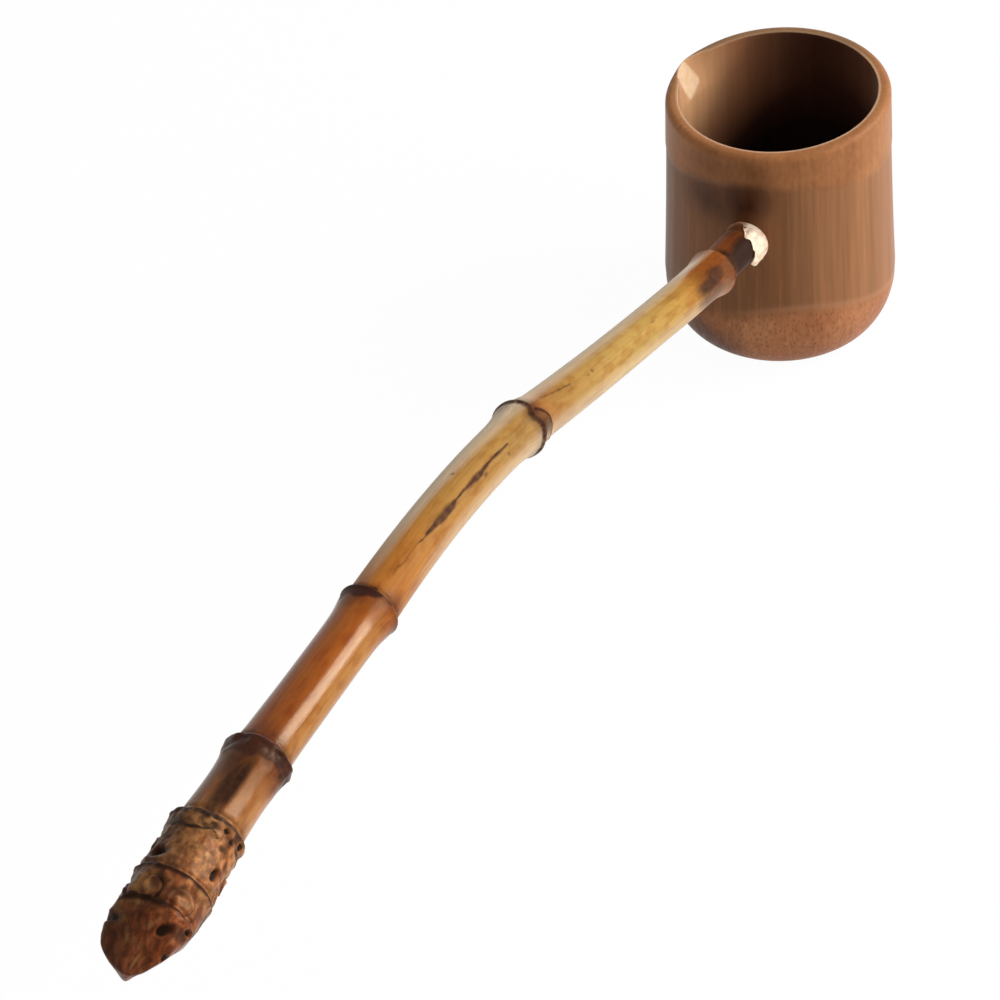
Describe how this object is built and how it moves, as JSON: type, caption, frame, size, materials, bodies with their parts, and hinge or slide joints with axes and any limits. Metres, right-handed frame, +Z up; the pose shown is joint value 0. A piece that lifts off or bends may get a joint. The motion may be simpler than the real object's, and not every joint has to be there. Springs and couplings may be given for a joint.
{
  "type": "water dipper",
  "caption": "Bamboo water dipper: a culm-section cup with a small pour lip, and a root-ended bamboo stem handle tenoned and wedged through the cup wall.",
  "frame": {"origin": "centre of the cup's flat base", "axes": "+Z up along the cup's axis, +X from the cup along the handle, pour lip towards -Y"},
  "size_m": [0.4137, 0.0664, 0.1139],
  "materials": {
    "cup_bamboo": "smoked brown bamboo, waxed",
    "stem_bamboo": "golden bamboo stem, polished",
    "wedge_bamboo": "split bamboo, bare",
    "joint_putty": "pale wood putty, lumpy and dry"
  },
  "bodies": {
    "root": {"cup": "cup_bamboo", "handle": "stem_bamboo", "tenon_wedge": "wedge_bamboo", "joint_seal": "joint_putty"}
  },
  "joints": []
}
